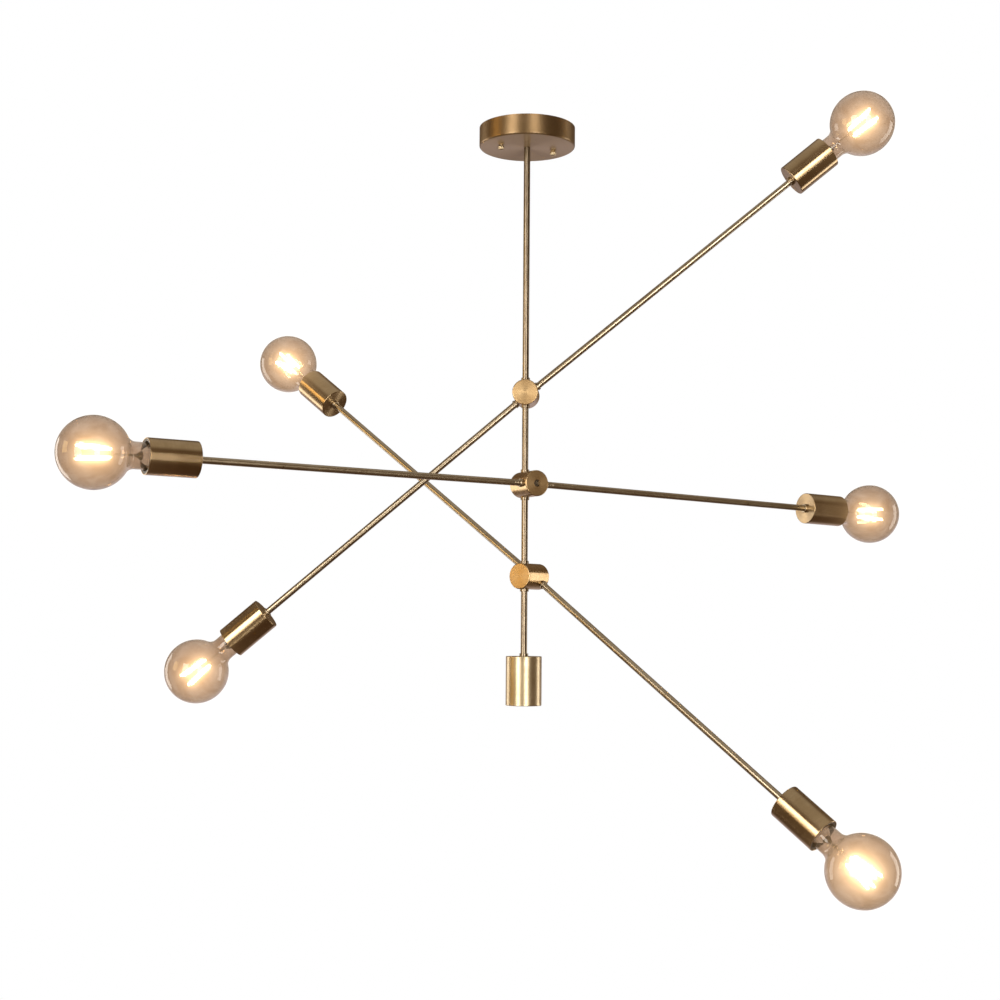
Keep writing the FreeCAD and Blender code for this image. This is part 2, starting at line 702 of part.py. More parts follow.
def globe_outline(body, inset):
    """Half of the bulb's outline, over the rod's axis: a neck, a hollow blend and a ball.

    inset names how far the whole outline lies inside the glass's outer face.
    """
    shrink = 0 if inset == "0" else size(inset)
    start = size("glass_start") - shrink
    neck = size("neck_dia") / 2 - shrink
    blend = size("neck_blend") + shrink
    ball = size("globe_dia") / 2 - shrink
    centre = size("globe_centre")
    turn = math.asin((neck + blend) / (ball + blend))
    blend_x = centre - (ball + blend) * math.cos(turn)
    facing = FreeCAD.Vector(0, 0, 1)
    blend_circle = Part.Circle(FreeCAD.Vector(blend_x, neck + blend, 0), facing, blend)
    ball_circle = Part.Circle(FreeCAD.Vector(centre, 0, 0), facing, ball)
    points = {
        "foot": FreeCAD.Vector(start, 0, 0),
        "lip": FreeCAD.Vector(start, neck, 0),
        "bend": FreeCAD.Vector(blend_x, neck, 0),
        "tip": FreeCAD.Vector(centre + ball, 0, 0),
    }
    sketch = sketch_on(body, UP, "0")
    foot = sketch.addGeometry(Part.LineSegment(points["foot"], points["lip"]), False)
    throat = sketch.addGeometry(Part.LineSegment(points["lip"], points["bend"]), False)
    hollow = sketch.addGeometry(Part.ArcOfCircle(blend_circle, -math.pi / 2, -turn), False)
    dome = sketch.addGeometry(Part.ArcOfCircle(ball_circle, 0, math.pi - turn), False)
    axis = sketch.addGeometry(Part.LineSegment(points["tip"], points["foot"]), False)
    sketch.addConstraint(Sketcher.Constraint("Coincident", foot, 2, throat, 1))
    sketch.addConstraint(Sketcher.Constraint("Tangent", throat, 2, hollow, 1))
    sketch.addConstraint(Sketcher.Constraint("Tangent", hollow, 2, dome, 2))
    sketch.addConstraint(Sketcher.Constraint("Coincident", dome, 1, axis, 1))
    sketch.addConstraint(Sketcher.Constraint("Coincident", axis, 2, foot, 1))
    sketch.addConstraint(Sketcher.Constraint("PointOnObject", foot, 1, -1))
    sketch.addConstraint(Sketcher.Constraint("PointOnObject", dome, 3, -1))
    sketch.addConstraint(Sketcher.Constraint("PointOnObject", dome, 1, -1))
    sketch.addConstraint(Sketcher.Constraint("Vertical", foot))
    sketch.addConstraint(Sketcher.Constraint("Horizontal", throat))
    less, more = f"- {inset}", f"+ {inset}"
    bind(sketch, Sketcher.Constraint("DistanceX", -1, 1, foot, 1, start), f"glass_start {less}")
    bind(sketch, Sketcher.Constraint("DistanceX", -1, 1, dome, 3, centre), "globe_centre")
    bind(sketch, Sketcher.Constraint("DistanceY", foot, 1, foot, 2, neck), f"neck_dia / 2 {less}")
    bind(sketch, Sketcher.Constraint("Radius", hollow, blend), f"neck_blend {more}")
    bind(sketch, Sketcher.Constraint("Radius", dome, ball), f"globe_dia / 2 {less}")
    return sketch


def spin(body, kind, sketch):
    """A Revolution or Groove of a full turn about the sketch's level axis."""
    feature = body.newObject("PartDesign::" + kind, body.Name + "_" + kind.lower())
    feature.Profile = sketch
    feature.ReferenceAxis = (sketch, ["H_Axis"])
    feature.Angle = 360
    doc.recompute()
    return feature


def make_bulb_globe():
    """A thin blown globe with an open neck that the cap is cemented to."""
    body = new_body("bulb_globe_form")
    spin(body, "Revolution", globe_outline(body, "0"))
    spin(body, "Groove", globe_outline(body, "glass_wall"))
    return body


def make_bulb_mount():
    """The glass foot inside the neck: a flare that narrows to the pinch that holds the wires."""
    start = "glass_start + glass_wall / 2"
    flare = cone(
        "mount_flare", "mount_flare_dia", "mount_pinch_dia", start, "mount_flare_length"
    )
    pinch = cylinder("mount_pinch", "mount_pinch_dia", start, "mount_length")
    return fuse("bulb_mount_form", flare, pinch)


def make_filaments():
    """Four straight sticks that spread a little from the mount towards the globe's tip."""
    sticks = []
    spread = math.degrees(
        math.asin(
            (size("filament_far_reach") - size("filament_near_reach")) / size("filament_length")
        )
    )
    for k in range(4):
        stick = doc.addObject("Part::Cylinder", "filament_stick")
        stick.setExpression("Radius", sized("filament_dia / 2"))
        stick.setExpression("Height", sized("filament_length"))
        around = FreeCAD.Rotation(FreeCAD.Vector(1, 0, 0), 45 + 90 * k)
        lean = FreeCAD.Rotation(FreeCAD.Vector(0, 1, 0), 90 - spread)
        near = around.multVec(FreeCAD.Vector(0, 0, size("filament_near_reach")))
        near.x = size("globe_centre") - size("filament_length") / 2
        stick.Placement = FreeCAD.Placement(near, around.multiply(lean))
        sticks.append(stick)
    cage = doc.addObject("Part::Compound", "filament_cage")
    cage.Links = sticks
    return cage


def arm_place(tier, side):
    """Puts a piece made along +X onto one of a drum's two rods."""
    lean = f"{tier}_tilt - rod_sag" if side == 0 else f"180 + {tier}_tilt + rod_sag"
    tilt = placed(y="0 - drum_half", axis=(0, -1, 0), angle=lean)
    return f"{drum_place(tier)} * {tilt}"


def drum_place(tier):
    return placed(z=f"{tier}_height", angle=f"{tier}_turn")


def make_drums():
    stem_half = make_stem_drum()
    arm_half = cut("arm_drum_drilled_form", make_arm_drum(), make_rod_holes())
    washer, screw, wave = make_friction_washer(), make_pivot_screw(), make_wave_washer()
    for tier in TIERS:
        place = drum_place(tier)
        tilted = f"{place} * {placed(axis=(0, -1, 0), angle=tier + '_tilt')}"
        node(f"{tier}_stem_drum", [(stem_half, place)])
        node(f"{tier}_friction_washer", [(washer, place)])
        node(f"{tier}_pivot_screw", [(screw, place)])
        node(f"{tier}_wave_washer", [(wave, place)])
        node(f"{tier}_arm_drum", [(arm_half, tilted)])


def make_rod():
    body = new_body("rod_form")
    pad(body, ARM, "rod_start", "rod_end - rod_start", "rod_dia", "rod_bore")
    return body


def make_lead():
    """The lamp's wires, from the drum to the chamber behind the socket."""
    body = new_body("lead_form")
    pad(body, ARM, "lead_start", "lead_end - lead_start", "lead_dia")
    return body


def make_arms():
    bore = "rod_dia + seat_gap"
    drum_collar = make_collar("drum_collar_form", ARM, "drum_collar_dia", bore)
    cup_collar = make_collar("cup_collar_form", ARM, "cup_collar_dia", bore)
    collars = [
        (drum_collar, "drum_dia / 2 + washer_gap"),
        (cup_collar, "cup_start - collar_height"),
        (cup_collar, "cup_start + cup_base"),
    ]
    pieces = {
        "arm_rods": make_rod(),
        "lead_wires": make_lead(),
        "lamp_cups": make_lamp_cup(),
        "socket_bodies": make_socket_body(),
        "socket_shells": make_socket_shell(),
        "bulb_caps": make_bulb_cap(),
        "bulb_globes": make_bulb_globe(),
        "bulb_mounts": make_bulb_mount(),
        "led_filaments": make_filaments(),
    }
    for tier in TIERS:
        sides = [arm_place(tier, side) for side in (0, 1)]
        for name, form in pieces.items():
            node(f"{tier}_{name}", [(form, side) for side in sides])
        rings = [
            (collar, f"{side} * {placed(x=start)}") for side in sides for collar, start in collars
        ]
        node(f"{tier}_rod_nuts", rings)


make_ceiling_end()
make_stem()
make_drums()
make_arms()
doc.recompute()

for item in doc.Objects:
    if "Invalid" in item.State or "Error" in item.State:
        raise RuntimeError(f"{item.Label} did not compute: {item.State}")
for group in nodes:
    if group.Shape.isNull() or not group.Shape.isValid() or not group.Shape.Solids:
        raise RuntimeError(f"{group.Label} has no valid solid")

os.makedirs("parts", exist_ok=True)
for group in nodes:
    group.Shape.exportStep(f"parts/{group.Label}.step")
print(len(nodes), "nodes written")
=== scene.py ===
"""The chandelier's looks: brushed brass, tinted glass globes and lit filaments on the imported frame.

Metres, +Z up, origin on the ceiling plane. Each lamp's pieces are turned about the rod's axis as
+X, with distances measured from the drum's axis, and are then put on their own arm.
"""
import json
import math

import bmesh
import bpy
from mathutils import Matrix, Vector


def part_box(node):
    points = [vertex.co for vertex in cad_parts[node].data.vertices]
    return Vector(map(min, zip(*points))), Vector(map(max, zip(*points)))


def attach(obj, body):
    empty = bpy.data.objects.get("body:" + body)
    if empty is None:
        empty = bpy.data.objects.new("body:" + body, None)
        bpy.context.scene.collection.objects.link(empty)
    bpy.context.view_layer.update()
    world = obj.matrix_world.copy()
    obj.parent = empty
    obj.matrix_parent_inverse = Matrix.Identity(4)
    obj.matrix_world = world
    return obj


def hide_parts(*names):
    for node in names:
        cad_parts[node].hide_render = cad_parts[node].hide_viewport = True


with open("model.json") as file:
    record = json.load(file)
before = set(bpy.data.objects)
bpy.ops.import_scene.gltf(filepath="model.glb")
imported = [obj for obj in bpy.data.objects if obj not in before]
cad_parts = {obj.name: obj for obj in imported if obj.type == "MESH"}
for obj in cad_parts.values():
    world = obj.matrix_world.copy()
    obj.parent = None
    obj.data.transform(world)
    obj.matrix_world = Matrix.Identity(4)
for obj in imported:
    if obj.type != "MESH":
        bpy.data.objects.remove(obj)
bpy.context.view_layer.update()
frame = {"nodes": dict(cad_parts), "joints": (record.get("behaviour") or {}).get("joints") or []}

MM = 0.001
UP = Vector((0, 0, 1))
TIERS = ("upper", "middle", "lower")
ENDS = ("a", "b")
JOINTS = {joint["name"]: joint for joint in frame["joints"]}
scene = bpy.context.scene
scene.view_settings.view_transform = "Standard"


# ------------------------------------------------------------------------- where the arms stand
def loose_points(node):
    """A CAD node's corners, each once."""
    vertices = frame["nodes"][node].data.vertices
    return [Vector(p) for p in {tuple(round(c, 7) for c in v.co) for v in vertices}]


def hub_of(tier):
    """The middle of the rods' pivot, and the drum's axis from the stem towards it."""
    joint = JOINTS[tier + "_tilt"]
    pivot, axis = Vector(joint["pos_m"]), Vector(joint["axis"]).normalized()
    points = loose_points(tier + "_arm_rods")
    offset = (sum(points, Vector()) / len(points) - pivot).dot(axis)
    return pivot + axis * offset, axis * math.copysign(1, offset)


def arm_matrix(tier, end):
    """Puts a piece made about +X, from the drum's axis outwards, onto one of the two rods."""
    hub, out = hub_of(tier)
    sign = 1 if end == "a" else -1
    level = UP.cross(out) * sign
    points = [p for p in loose_points(tier + "_arm_rods") if (p - hub).dot(level) > 0]
    along = (sum(points, Vector()) / len(points) - hub).normalized()
    side = -out * sign
    return Matrix.Translation(hub) @ Matrix((along, side, along.cross(side))).transposed().to_4x4()


ARMS = {(tier, end): arm_matrix(tier, end) for tier in TIERS for end in ENDS}


def reach(node, tier, end):
    """Where a CAD node starts and ends along one rod, and how far it stands out from its axis."""
    back = ARMS[tier, end].inverted()
    points = [q for q in (back @ p for p in loose_points(f"{tier}_{node}")) if q.x > 0]
    return min(q.x for q in points), max(q.x for q in points), max(q.yz.length for q in points)


# ------------------------------------------------------------------------------------ materials
NOISE = "ShaderNodeTexNoise"
RANGE = "ShaderNodeMapRange"
VECTOR_MATH = "ShaderNodeVectorMath"
NOISE_LOW, NOISE_HIGH = 0.3, 0.7  # nearly all of a noise's values lie between these


def linear(code):
    """An sRGB hex colour as the linear colour that a shader takes."""
    parts = [int(code[i : i + 2], 16) / 255 for i in (1, 3, 5)]
    return (*[c / 12.92 if c <= 0.04045 else ((c + 0.055) / 1.055) ** 2.4 for c in parts], 1)


def add(tree, kind, settings=None, **links):
    """Adds a node; a link is a socket, and anything else is that input's value."""
    node = tree.nodes.new(kind)
    for key, value in (settings or {}).items():
        setattr(node, key, value)
    for key, value in links.items():
        index = key[3:] if key.startswith("in_") else key.replace("_", " ")
        socket = node.inputs[int(index) if index.isdigit() else index]
        if isinstance(value, bpy.types.NodeSocket):
            tree.links.new(value, socket)
        else:
            socket.default_value = value
    return node


def new_material(name):
    """An empty node material and its tree."""
    material = bpy.data.materials.new(name)
    material.use_nodes = True
    tree = material.node_tree
    tree.nodes.clear()
    return material, tree


def finish_shader(tree, **inputs):
    """Ends a material in one surface with these inputs."""
    shader = add(tree, "ShaderNodeBsdfPrincipled", **inputs)
    add(tree, "ShaderNodeOutputMaterial", Surface=shader.outputs["BSDF"])


def toned(tree, value, first, second, share=1.0, low=NOISE_LOW, high=NOISE_HIGH):
    """A colour that turns from the first to a share of the second as a value rises."""
    cover = add(tree, RANGE, Value=value, From_Min=low, From_Max=high, To_Max=share).outputs[0]
    first, second = (linear(c) if isinstance(c, str) else c for c in (first, second))
    mix = add(tree, "ShaderNodeMix", {"data_type": "RGBA"}, in_0=cover, in_6=first, in_7=second)
    return mix.outputs[2]


def round_coordinates(tree, centre, axis):
    """Distance along and out from an axis, the spoke out from it, and the way round it."""
    place = add(tree, "ShaderNodeTexCoord").outputs["Object"]
    local = add(tree, VECTOR_MATH, {"operation": "SUBTRACT"}, in_0=place, in_1=centre).outputs[0]
    along = add(tree, VECTOR_MATH, {"operation": "DOT_PRODUCT"}, in_0=local, in_1=axis)
    along = along.outputs["Value"]
    on_axis = add(tree, VECTOR_MATH, {"operation": "SCALE"}, in_0=axis, Scale=along).outputs[0]
    spoke = add(tree, VECTOR_MATH, {"operation": "SUBTRACT"}, in_0=local, in_1=on_axis).outputs[0]
    out = add(tree, VECTOR_MATH, {"operation": "LENGTH"}, in_0=spoke).outputs["Value"]
    around = add(tree, VECTOR_MATH, {"operation": "CROSS_PRODUCT"}, in_0=axis, in_1=spoke)
    turned_way = add(
        tree,
        "ShaderNodeVectorTransform",
        {"vector_type": "VECTOR", "convert_from": "OBJECT", "convert_to": "WORLD"},
        in_0=around.outputs[0],
    ).outputs[0]
    return along, out, spoke, turned_way


# Tones of the plate on the cups, the canopy's side, the finial, the drums, the rods and the stem. The
# canopy's side is toned darker than the cups as painted shade, and the finial and the drums lighter as
# painted light.
PLATE = ("#cab592", "#b69e79", "#9c825d")
CANOPY_TONES_WITH_PAINTED_SHADE = ("#a88e6b", "#977f5e", "#816a4a")
FINIAL_TONES_WITH_PAINTED_LIGHT = ("#e0d2b4", "#cfbe9b", "#b5a27f")
DRUM_TONES_WITH_PAINTED_LIGHT = ("#dcc296", "#ccad7e", "#b49265")
TUBE = ("#cbc0aa", "#baac93", "#9e8e74")
STEM = ("#988c79", "#867966", "#6f624f")
FACED = 0.12  # how much rougher a flat end is
FLAT_FROM = 0.8  # how squarely a face must look along the axis before it starts to count as flat


def brushed_brass(name, centre, axis, roughness=0.22, streak=0.6, smear=0.8, tones=PLATE,
                  face=None):
    """Antique brass plate, brushed on a lathe and lacquered.

    Abrasive runs round the piece, so light smears along its axis in narrow bright bands, and the
    toned plate varies from gold to brown in soft clouds. The real lines are 0.1 mm apart, too
    fine to show, so they are drawn 0.5 mm apart or more. A face colour is for flat ends only.
    """
    material, tree = new_material(name)
    along, out, spoke, way = round_coordinates(tree, tuple(centre), tuple(axis))
    pair = add(tree, "ShaderNodeCombineXYZ", X=along, Y=out).outputs[0]
    fine = add(tree, VECTOR_MATH, {"operation": "SCALE"}, in_0=pair, Scale=1 / (streak * MM))
    # a streak lasts for about a third of the way round before it fades into another
    slow = add(tree, VECTOR_MATH, {"operation": "NORMALIZE"}, in_0=spoke).outputs[0]
    where = add(tree, VECTOR_MATH, {"operation": "ADD"}, in_0=fine.outputs[0], in_1=slow)
    lines = add(tree, NOISE, Vector=where.outputs[0], Scale=1.0, Detail=3.0, Roughness=0.6)
    place = add(tree, "ShaderNodeTexCoord").outputs["Object"]
    clouds = add(tree, NOISE, Vector=place, Scale=1 / (22 * MM), Detail=4.0)
    specks = add(tree, NOISE, Vector=place, Scale=1 / (1.6 * MM), Detail=2.0)
    light, middle, dark = tones
    colour = toned(tree, clouds.outputs[0], light, middle)
    colour = toned(tree, lines.outputs[0], colour, dark, 0.3)
    colour = toned(tree, specks.outputs[0], colour, "#96794e", 0.25, 0.66, 0.85)
    satin = add(
        tree,
        RANGE,
        Value=lines.outputs[0],
        From_Min=NOISE_LOW,
        From_Max=NOISE_HIGH,
        To_Min=roughness - 0.03,
        To_Max=roughness + 0.03,
    )
    # the flat ends are faced off more coarsely than the sides are turned
    normal = add(tree, "ShaderNodeTexCoord").outputs["Normal"]
    level = add(tree, VECTOR_MATH, {"operation": "DOT_PRODUCT"}, in_0=normal, in_1=tuple(axis))
    level = add(tree, "ShaderNodeMath", {"operation": "ABSOLUTE"}, in_0=level.outputs["Value"])
    level = level.outputs[0]
    coarser = add(tree, RANGE, Value=level, From_Min=FLAT_FROM, From_Max=1.0, To_Max=FACED)
    if face:
        colour = toned(tree, level, colour, face, 1.0, FLAT_FROM, 1.0)
    rough = add(tree, "ShaderNodeMath", {"operation": "ADD"}, in_0=satin.outputs[0],
                in_1=coarser.outputs[0])
    finish_shader(
        tree,
        Base_Color=colour,
        Metallic=1.0,
        Roughness=rough.outputs[0],
        Anisotropic=smear,
        Anisotropic_Rotation=0.25,
        Tangent=way,
        Coat_Weight=0.35,
        Coat_Roughness=0.12,
    )
    return material


def plain_metal(name, bright, dull, grain, roughness):
    """Bare or plated metal: a base colour, a duller patchy one, and a fine grain in mm."""
    material, tree = new_material(name)
    place = add(tree, "ShaderNodeTexCoord").outputs["Object"]
    patches = add(tree, NOISE, Vector=place, Scale=1 / (9 * MM), Detail=5.0)
    fine = add(tree, NOISE, Vector=place, Scale=1 / (grain * MM), Detail=2.0)
    rough = add(
        tree,
        RANGE,
        Value=fine.outputs[0],
        From_Min=NOISE_LOW,
        From_Max=NOISE_HIGH,
        To_Min=roughness - 0.06,
        To_Max=roughness + 0.08,
    )
    bump = add(tree, "ShaderNodeBump", Height=fine.outputs[0], Strength=0.3, Distance=0.01 * MM)
    finish_shader(
        tree,
        Base_Color=toned(tree, patches.outputs[0], bright, dull),
        Metallic=1.0,
        Roughness=rough.outputs[0],
        Normal=bump.outputs[0],
    )
    return material


def moulded(name, colour, worn, grain, roughness, ior=1.55):
    """A plastic or a dyed coat: even colour, slight flow marks and a fine skin, in mm."""
    material, tree = new_material(name)
    place = add(tree, "ShaderNodeTexCoord").outputs["Object"]
    flow = add(tree, NOISE, Vector=place, Scale=1 / (12 * MM), Detail=3.0)
    skin = add(tree, NOISE, Vector=place, Scale=1 / (grain * MM), Detail=2.0)
    rough = add(
        tree,
        RANGE,
        Value=skin.outputs[0],
        From_Min=NOISE_LOW,
        From_Max=NOISE_HIGH,
        To_Min=roughness - 0.08,
        To_Max=roughness + 0.08,
    )
    bump = add(tree, "ShaderNodeBump", Height=skin.outputs[0], Strength=0.4, Distance=0.02 * MM)
    finish_shader(
        tree,
        Base_Color=toned(tree, flow.outputs[0], colour, worn),
        Roughness=rough.outputs[0],
        IOR=ior,
        Normal=bump.outputs[0],
    )
    return material


def soda_lime_glass(name, clear, tinted, edge):
    """Soda-lime glass, blown or pressed: smooth and clear, with faint swirls and ripples.

    Light crosses four faces of a globe, and each one passes the square root of its colour.
    """
    material, tree = new_material(name)
    place = add(tree, "ShaderNodeTexCoord").outputs["Object"]
    swirl = add(tree, NOISE, Vector=place, Scale=1 / (30 * MM), Detail=2.0, Distortion=1.2)
    ripple = add(tree, NOISE, Vector=place, Scale=1 / (18 * MM), Detail=1.0)
    through = toned(tree, swirl.outputs[0], clear, tinted)
    # a sight line crosses more of the wall near the outline, so the tint is greyer there
    facing = add(tree, "ShaderNodeLayerWeight", Blend=0.5).outputs["Facing"]
    rim = add(tree, "ShaderNodeMath", {"operation": "POWER"}, in_0=facing, in_1=2.0)
    bump = add(tree, "ShaderNodeBump", Height=ripple.outputs[0], Strength=0.5, Distance=0.3 * MM)
    finish_shader(
        tree,
        Base_Color=toned(tree, rim.outputs[0], through, edge, 1.0, 0.0, 1.0),
        Roughness=0.0,
        IOR=1.5,
        Transmission_Weight=1.0,
        Normal=bump.outputs[0],
    )
    return material


def lit_phosphor(name):
    """Silicone and yellow phosphor over a row of diodes: warm white, hotter over each chip."""
    material, tree = new_material(name)
    place = add(tree, "ShaderNodeTexCoord").outputs["Object"]
    chips = add(tree, NOISE, Vector=place, Scale=1 / (1.4 * MM), Detail=1.0)
    glow = toned(tree, chips.outputs[0], "#ffd592", "#fff0cd")
    finish_shader(
        tree,
        Base_Color=glow,
        Roughness=0.5,
        Emission_Color=glow,
        Emission_Strength=90.0,
    )
    return material


# ------------------------------------------------------------------------------------- modelling
def turned(outline, segments=96, closed=True):
    """Turns corners of (along, out, rounding) in mm about +X; an open outline ends on the axis."""
    bm = bmesh.new()
    corners = [bm.verts.new((along * MM, out * MM, 0)) for along, out, _ in outline]
    pairs = list(zip(corners, corners[1:])) + ([(corners[-1], corners[0])] if closed else [])
    for pair in pairs:
        bm.edges.new(pair)
    spin_round(bm, segments)
    for along, out, rounding in outline:
        if rounding:
            at = Vector((along * MM, out * MM))
            rings = [e for e in bm.edges if all(near(v, at) for v in e.verts)]
            bmesh.ops.bevel(
                bm, geom=rings, offset=rounding * MM, offset_type="OFFSET", affect="EDGES",
                segments=4, profile=0.5, material=-1, clamp_overlap=True,
            )
    return bm


def near(vertex, at):
    """Whether a vertex lies at one distance along the axis and out from it."""
    return (Vector((vertex.co.x, vertex.co.yz.length)) - at).length < 1e-6


def spin_round(bm, segments):
    """Spins an outline once round +X and closes the seam and the poles."""
    bmesh.ops.spin(
        bm, geom=bm.verts[:] + bm.edges[:], cent=(0, 0, 0), axis=(1, 0, 0), dvec=(0, 0, 0),
        angle=2 * math.pi, steps=segments, use_merge=True,
    )
    bmesh.ops.remove_doubles(bm, verts=bm.verts, dist=1e-7)
    bmesh.ops.recalc_face_normals(bm, faces=bm.faces)


def run_on(bm, vertex, along, out):
    """A straight line from the outline's last vertex."""
    new = bm.verts.new((along * MM, out * MM, 0))
    bm.edges.new((vertex, new))
    return new


def arc_on(bm, vertex, along, out, angle, steps):
    """An arc from the outline's last vertex, about a centre in its plane."""
    result = bmesh.ops.spin(
        bm, geom=[vertex], cent=(along * MM, out * MM, 0), axis=(0, 0, 1), dvec=(0, 0, 0),
        angle=angle, steps=steps, use_merge=False,
    )
    return next(g for g in result["geom_last"] if isinstance(g, bmesh.types.BMVert))


def wire(points, diameter):
    """A bent wire through points in mm, smooth, with closed ends, as a bmesh."""
    curve = bpy.data.curves.new("wire", "CURVE")
    curve.dimensions = "3D"
    curve.bevel_depth = diameter / 2 * MM
    curve.bevel_resolution = 3
    curve.resolution_u = 8
    curve.use_fill_caps = True
    spline = curve.splines.new("NURBS")
    spline.points.add(len(points) - 1)
    for point, place in zip(spline.points, points):
        point.co = (*[c * MM for c in place], 1)
    spline.order_u = 3
    spline.use_endpoint_u = True
    holder = bpy.data.objects.new("wire", curve)
    mesh = bpy.data.meshes.new_from_object(holder)
    bm = bmesh.new()
    bm.from_mesh(mesh)
    bmesh.ops.remove_doubles(bm, verts=bm.verts, dist=1e-7)
    bmesh.ops.recalc_face_normals(bm, faces=bm.faces)
    bpy.data.objects.remove(holder)
    bpy.data.curves.remove(curve)
    bpy.data.meshes.remove(mesh)
    return bm


def piece(name, shapes, place, material, body, slot, *nodes):
    """Joins bmesh shapes, puts them in place and makes them a piece that stands for the nodes."""
    mesh = bpy.data.meshes.new(name)
    whole = bmesh.new()
    for shape in shapes:
        part = bpy.data.meshes.new("part")
        shape.to_mesh(part)
        shape.free()
        whole.from_mesh(part)
        bpy.data.meshes.remove(part)
    bmesh.ops.transform(whole, matrix=place, verts=whole.verts)
    for face in whole.faces:
        face.smooth = True
    whole.to_mesh(mesh)
    whole.free()
    mesh.set_sharp_from_angle(angle=math.radians(40))
    mesh.materials.append(material)
    obj = bpy.data.objects.new(name, mesh)
    scene.collection.objects.link(obj)
    normals = obj.modifiers.new("even shading", "WEIGHTED_NORMAL")
    normals.keep_sharp = True
    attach(obj, body)
    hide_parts(*nodes)


def dress(node, material):
    """Gives a CAD node its material."""
    for slot in frame["nodes"][node].material_slots:
        slot.material = material


# ------------------------------------------------------------------------------- lamps and rods
# Sizes in mm
WALL, BASE = 1.2, 1.5  # the drawn cup's metal, at its side and at its flat end
CUP_BORE, COLLAR_BORE, ROD_BORE = 4.1, 4.02, 3.0  # radii
MOUTH_BORE, CAP_BORE, CHAMBER_BORE = 16.5, 14.2, 7.0  # the socket's radii, from its mouth inwards
MOUTH_DEPTH, CAP_FLOOR, CHAMBER_FLOOR = 6.0, 18.4, 2.8  # the floors are heights above its base
GLASS_WALL = 0.8
NECK, BLEND = 15.0, 12.0  # radii of the globe's neck and of the hollow curve above it
PINCH_START, PINCH_BLEND, PINCH_END = 8, 6, 20.3  # where the foot is pressed flat
THINNER, WIDER = 0.5, 0.25  # what pressing takes from its thickness and adds to its width
CAGE_NEAR, CAGE_FAR, CAGE_HALF = 6.5, 10.5, 19.0  # how far out the sticks' ends are, half-length
STICK_RADIUS, STICK_SHORT = 1.2, 1.6  # a stick stops short of its corner of the cage
LEAD, LINK = 0.7, 0.6  # diameters of the lead wires and of the links between sticks
MARKS, MARK_HALF, MARK_DEPTH = (12.5, 14.5, 16.5), 0.3, 0.15  # fine lines where a thread runs out
COLLAR = 3.5  # a collar's length


def make_cup(start, end, radius, bore):
    """The drawn brass cup: a flat end with a hole for the rod, and an open mouth."""
    inner = radius - WALL
    return turned([
        (start, bore, 0.2),
        (start, radius, 0.8),
        (end, radius, 0.35),
        (end, inner, 0.35),
        (start + BASE, inner, 0.8),
        (start + BASE, bore, 0.2),
    ])


def make_socket(start, end, radius, seat):
    """The phenolic body: a chamber for the wires, a bore for the cap and a wide rounded mouth."""
    return turned([
        (start, seat, 0),
        (start, radius, 0.6),
        (end, radius, 0.4),
        (end, MOUTH_BORE, 0.5),
        (end - MOUTH_DEPTH, MOUTH_BORE, 0),
        (end - MOUTH_DEPTH, CAP_BORE, 0.3),
        (start + CAP_FLOOR, CAP_BORE, 0),
        (start + CAP_FLOOR, CHAMBER_BORE, 0),
        (start + CHAMBER_FLOOR, CHAMBER_BORE, 0),
        (start + CHAMBER_FLOOR, seat, 0),
    ])


def globe_wall(bm, start, centre, ball, inside):
    """One face of the blown wall as an outline, from the open neck to the tip."""
    neck, blend = NECK - inside, BLEND + inside
    ball = ball - inside
    turn = math.asin((neck + blend) / (ball + blend))
    bend = centre - (ball + blend) * math.cos(turn)
    lip = bm.verts.new((start * MM, neck * MM, 0))
    vertex = run_on(bm, lip, bend, neck)
    vertex = arc_on(bm, vertex, bend, neck + blend, math.pi / 2 - turn, 10)
    arc_on(bm, vertex, centre, 0, turn - math.pi, 56)
    return lip


def make_globe(start, tip, ball):
    """The blown bulb, with its wall's outer and inner faces joined at the neck's rim."""
    centre = tip - ball
    bm = bmesh.new()
    lips = [globe_wall(bm, start, centre, ball, inside) for inside in (0, GLASS_WALL)]
    bm.edges.new(lips)
    spin_round(bm, 96)
    return bm


def make_mount(start, end):
    """The glass foot: a flared skirt, a pinch pressed flat round the wires, and a thin rod."""
    bm = turned([
        (start, 11, 0.3),
        (start + 2.5, 10.2, 1.5),
        (start + 8, 5.2, 3),
        (start + 13, 3.4, 2),
        (start + 20, 3.2, 0.8),
        (start + 20.6, 1.2, 0.3),
        (end, 1.1, 0.7),
        (end, 0, 0),
    ], segments=48, closed=False)
    bmesh.ops.holes_fill(bm, edges=[e for e in bm.edges if e.is_boundary], sides=0)
    for vertex in bm.verts:
        pressed = min(1, max(0, (vertex.co.x / MM - start - PINCH_START) / PINCH_BLEND))
        if vertex.co.x < (start + PINCH_END) * MM:
            vertex.co.z *= 1 - THINNER * pressed
            vertex.co.y *= 1 + WIDER * pressed
    return bm


def cage_corner(number, along, out):
    """One of four corners round the lamp's axis."""
    turn = math.radians(45 + 90 * number)
    return along, -out * math.sin(turn), out * math.cos(turn)


def make_sticks(centre):
    """Four phosphor sticks that spread towards the globe's tip."""
    sticks = []
    for number in range(4):
        near_end = Vector(cage_corner(number, centre - CAGE_HALF, CAGE_NEAR))
        far_end = Vector(cage_corner(number, centre + CAGE_HALF, CAGE_FAR))
        line = (far_end - near_end).normalized()
        length = (far_end - near_end).length
        stick = turned([
            (STICK_SHORT, 0, 0),
            (STICK_SHORT, STICK_RADIUS, 0.5),
            (length - STICK_SHORT, STICK_RADIUS, 0.5),
            (length - STICK_SHORT, 0, 0),
        ], segments=16, closed=False)
        turn = Vector((1, 0, 0)).rotation_difference(line).to_matrix().to_4x4()
        bmesh.ops.transform(
            stick, matrix=Matrix.Translation(near_end * MM) @ turn, verts=stick.verts
        )
        sticks.append(stick)
    return sticks


